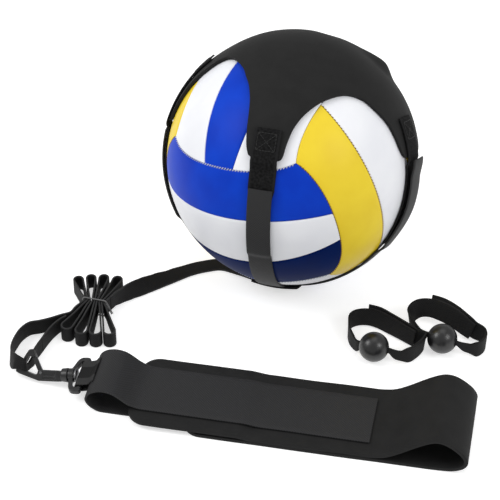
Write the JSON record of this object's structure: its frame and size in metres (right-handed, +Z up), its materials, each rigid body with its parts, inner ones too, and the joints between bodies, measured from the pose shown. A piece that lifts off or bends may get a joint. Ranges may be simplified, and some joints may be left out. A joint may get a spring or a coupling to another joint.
{
  "type": "volleyball rebounder",
  "caption": "Volleyball in a strapped neoprene harness on an elastic lead folded into a hank, hooked by a swivel snap hook to a waist belt, with palm straps and rubber balls.",
  "frame": {"origin": "under the middle of the set without its lead, on the surface that the set lies on", "axes": "+X to the right along the waist belt, +Y from the belt towards the ball, +Z up"},
  "size_m": [0.3942, 0.3698, 0.2153],
  "materials": {
    "ball_blue": "semi-gloss synthetic leather, blue",
    "ball_yellow": "semi-gloss synthetic leather, yellow",
    "ball_white": "semi-gloss synthetic leather, white",
    "ball_latex": "matt rubber",
    "neoprene": "black neoprene with a fine knit face",
    "loop_webbing": "black brushed loop tape",
    "hook_tape": "dark grey hook tape",
    "lead_webbing": "black elastic webbing",
    "palm_webbing": "black elastic webbing",
    "black_plastic": "moulded black plastic, satin",
    "ball_rubber": "satin black rubber",
    "tie_wire": "grey plastic-coated wire",
    "steel": "plain steel"
  },
  "bodies": {
    "set": {"panel_front_1": "ball_blue", "panel_front_2": "ball_white", "panel_front_3": "ball_blue", "panel_back_1": "ball_blue", "panel_back_2": "ball_white", "panel_back_3": "ball_blue", "panel_right_1": "ball_yellow", "panel_right_2": "ball_white", "panel_right_3": "ball_yellow", "panel_left_1": "ball_yellow", "panel_left_2": "ball_white", "panel_left_3": "ball_yellow", "panel_top_1": "ball_white", "panel_top_2": "ball_blue", "panel_top_3": "ball_white", "panel_bottom_1": "ball_white", "panel_bottom_2": "ball_blue", "panel_bottom_3": "ball_white", "ball_bladder": "ball_latex", "ball_valve": "ball_latex", "harness_cap": "neoprene", "loop_strap_front": "loop_webbing", "loop_strap_right": "loop_webbing", "loop_strap_back": "loop_webbing", "loop_strap_left": "loop_webbing", "hook_strap_front": "hook_tape", "hook_strap_right": "hook_tape", "hook_strap_back": "hook_tape", "hook_strap_left": "hook_tape", "junction_patch": "loop_webbing", "lead_to_hank": "lead_webbing", "lead_hank": "lead_webbing", "hank_tie": "tie_wire", "belt_band": "neoprene", "belt_tape": "hook_tape", "ring_tab": "hook_tape", "lead_hook_loop": "lead_webbing", "palm_band_left": "palm_webbing", "palm_fastener_left": "hook_tape", "palm_band_right": "palm_webbing", "palm_fastener_right": "hook_tape"},
    "ring": {"swivel_ring": "black_plastic"},
    "hook": {"hook_body": "black_plastic", "swivel_pin": "steel", "gate_pin": "steel", "gate_leaf": "steel"},
    "gate": {"hook_gate": "black_plastic"},
    "left_palm_ball": {"palm_ball_left": "ball_rubber"},
    "right_palm_ball": {"palm_ball_right": "ball_rubber"}
  },
  "joints": [
    {"name": "ring_hinge", "type": "hinge", "parent": "set", "child": "ring", "pos_m": [-0.13775, -0.08574, 0.011], "axis": [0.1891, 0.982, 0], "range_deg": [-45, 70], "deforming": ["lead_hook_loop"]},
    {"name": "hook_swivel", "type": "hinge", "parent": "ring", "child": "hook", "pos_m": [-0.13775, -0.08574, 0.011], "axis": [-0.9746, 0.1877, -0.1219], "continuous": true},
    {"name": "gate_hinge", "type": "hinge", "parent": "hook", "child": "gate", "pos_m": [-0.17241, -0.07828, 0.00757], "axis": [-0.2218, -0.7374, 0.638], "range_deg": [0, 24], "stiffness_Nm_per_rad": 0.03, "springref_deg": -11.46},
    {"name": "left_palm_ball_spin", "type": "hinge", "parent": "set", "child": "left_palm_ball", "pos_m": [0.09942, -0.05294, 0.0125], "axis": [0.9426, -0.3338, 0], "continuous": true},
    {"name": "right_palm_ball_spin", "type": "hinge", "parent": "set", "child": "right_palm_ball", "pos_m": [0.15642, -0.04294, 0.0125], "axis": [0.9026, -0.4305, 0], "continuous": true}
  ]
}
